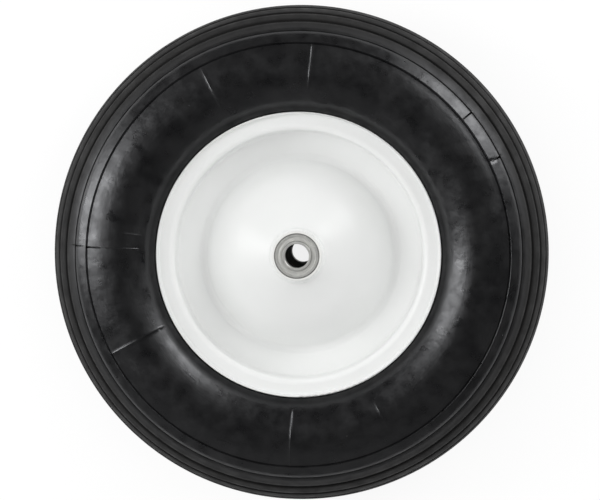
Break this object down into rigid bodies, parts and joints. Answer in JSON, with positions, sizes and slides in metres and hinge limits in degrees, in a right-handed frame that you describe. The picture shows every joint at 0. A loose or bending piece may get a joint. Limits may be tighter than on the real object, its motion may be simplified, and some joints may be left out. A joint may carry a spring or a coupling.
{
  "type": "cement mixer wheel",
  "caption": "Pneumatic wheel for a cement mixer or cart: ribbed tyre and tube on a dished white pressed-steel rim, with a welded hub tube, shielded ball bearings and a tyre valve.",
  "frame": {"origin": "centre of the wheel: on the axle bore's axis, midway between the two bearings", "axes": "+Z along the axle, out of the front face that the picture shows; +X from the centre to the valve; the wheel lies on its back sidewall"},
  "size_m": [0.4063, 0.4064, 0.116],
  "materials": {
    "tyre": "matt moulded rubber, ribbed",
    "inner_tube": "smooth dull rubber",
    "rim_paint": "smooth white gloss paint on pressed steel",
    "hub_paint": "smooth white gloss paint on steel tube",
    "bearing_steel": "ground bearing steel",
    "shield_steel": "thin pressed steel, dull zinc",
    "ball_steel": "polished",
    "cage_nylon": "moulded nylon",
    "valve_rubber": "smooth moulded rubber",
    "valve_brass": "turned brass",
    "valve_steel": "drawn steel wire",
    "cap_plastic": "moulded black plastic"
  },
  "bodies": {
    "wheel": {"tyre": "tyre", "inner_tube": "inner_tube", "rim_half_front": "rim_paint", "rim_half_back": "rim_paint", "hub_tube": "hub_paint", "bearing_outer_race_front": "bearing_steel", "bearing_outer_race_back": "bearing_steel", "bearing_outer_shield_front": "shield_steel", "bearing_outer_shield_back": "shield_steel", "bearing_inner_shield_front": "shield_steel", "bearing_inner_shield_back": "shield_steel", "valve_stem": "valve_rubber", "valve_insert": "valve_brass", "valve_core_barrel": "valve_brass", "valve_spring": "valve_steel"},
    "inner_race_front": {"bearing_inner_race_front": "bearing_steel"},
    "inner_race_back": {"bearing_inner_race_back": "bearing_steel"},
    "ball_set_front": {"bearing_balls_front": "ball_steel", "bearing_cage_front": "cage_nylon"},
    "ball_set_back": {"bearing_balls_back": "ball_steel", "bearing_cage_back": "cage_nylon"},
    "valve_pin": {"valve_pin": "valve_brass"},
    "valve_cap": {"valve_cap": "cap_plastic"}
  },
  "joints": [
    {"name": "inner_race_front_spin", "type": "hinge", "parent": "wheel", "child": "inner_race_front", "pos_m": [0, 0, 0.04935], "axis": [0, 0, 1], "continuous": true},
    {"name": "ball_set_front_spin", "type": "hinge", "parent": "wheel", "child": "ball_set_front", "pos_m": [0, 0, 0.04935], "axis": [0, 0, 1], "continuous": true},
    {"name": "inner_race_back_spin", "type": "hinge", "parent": "wheel", "child": "inner_race_back", "pos_m": [0, 0, -0.04935], "axis": [0, 0, 1], "continuous": true},
    {"name": "ball_set_back_spin", "type": "hinge", "parent": "wheel", "child": "ball_set_back", "pos_m": [0, 0, -0.04935], "axis": [0, 0, 1], "continuous": true},
    {"name": "valve_pin_press", "type": "slide", "parent": "wheel", "child": "valve_pin", "axis": [0, 0, 1], "range_m": [0, 0.001], "stiffness_N_per_m": 1000, "springref_m": -0.001, "deforming": ["valve_spring"]},
    {"name": "valve_cap_off", "type": "slide", "parent": "wheel", "child": "valve_cap", "axis": [0, 0, -1], "range_m": [0, 0.012]}
  ],
  "couplings": [
    {"joint": "ball_set_front_spin", "follows": "inner_race_front_spin", "ratio": 0.41115},
    {"joint": "ball_set_back_spin", "follows": "inner_race_back_spin", "ratio": 0.41115}
  ]
}
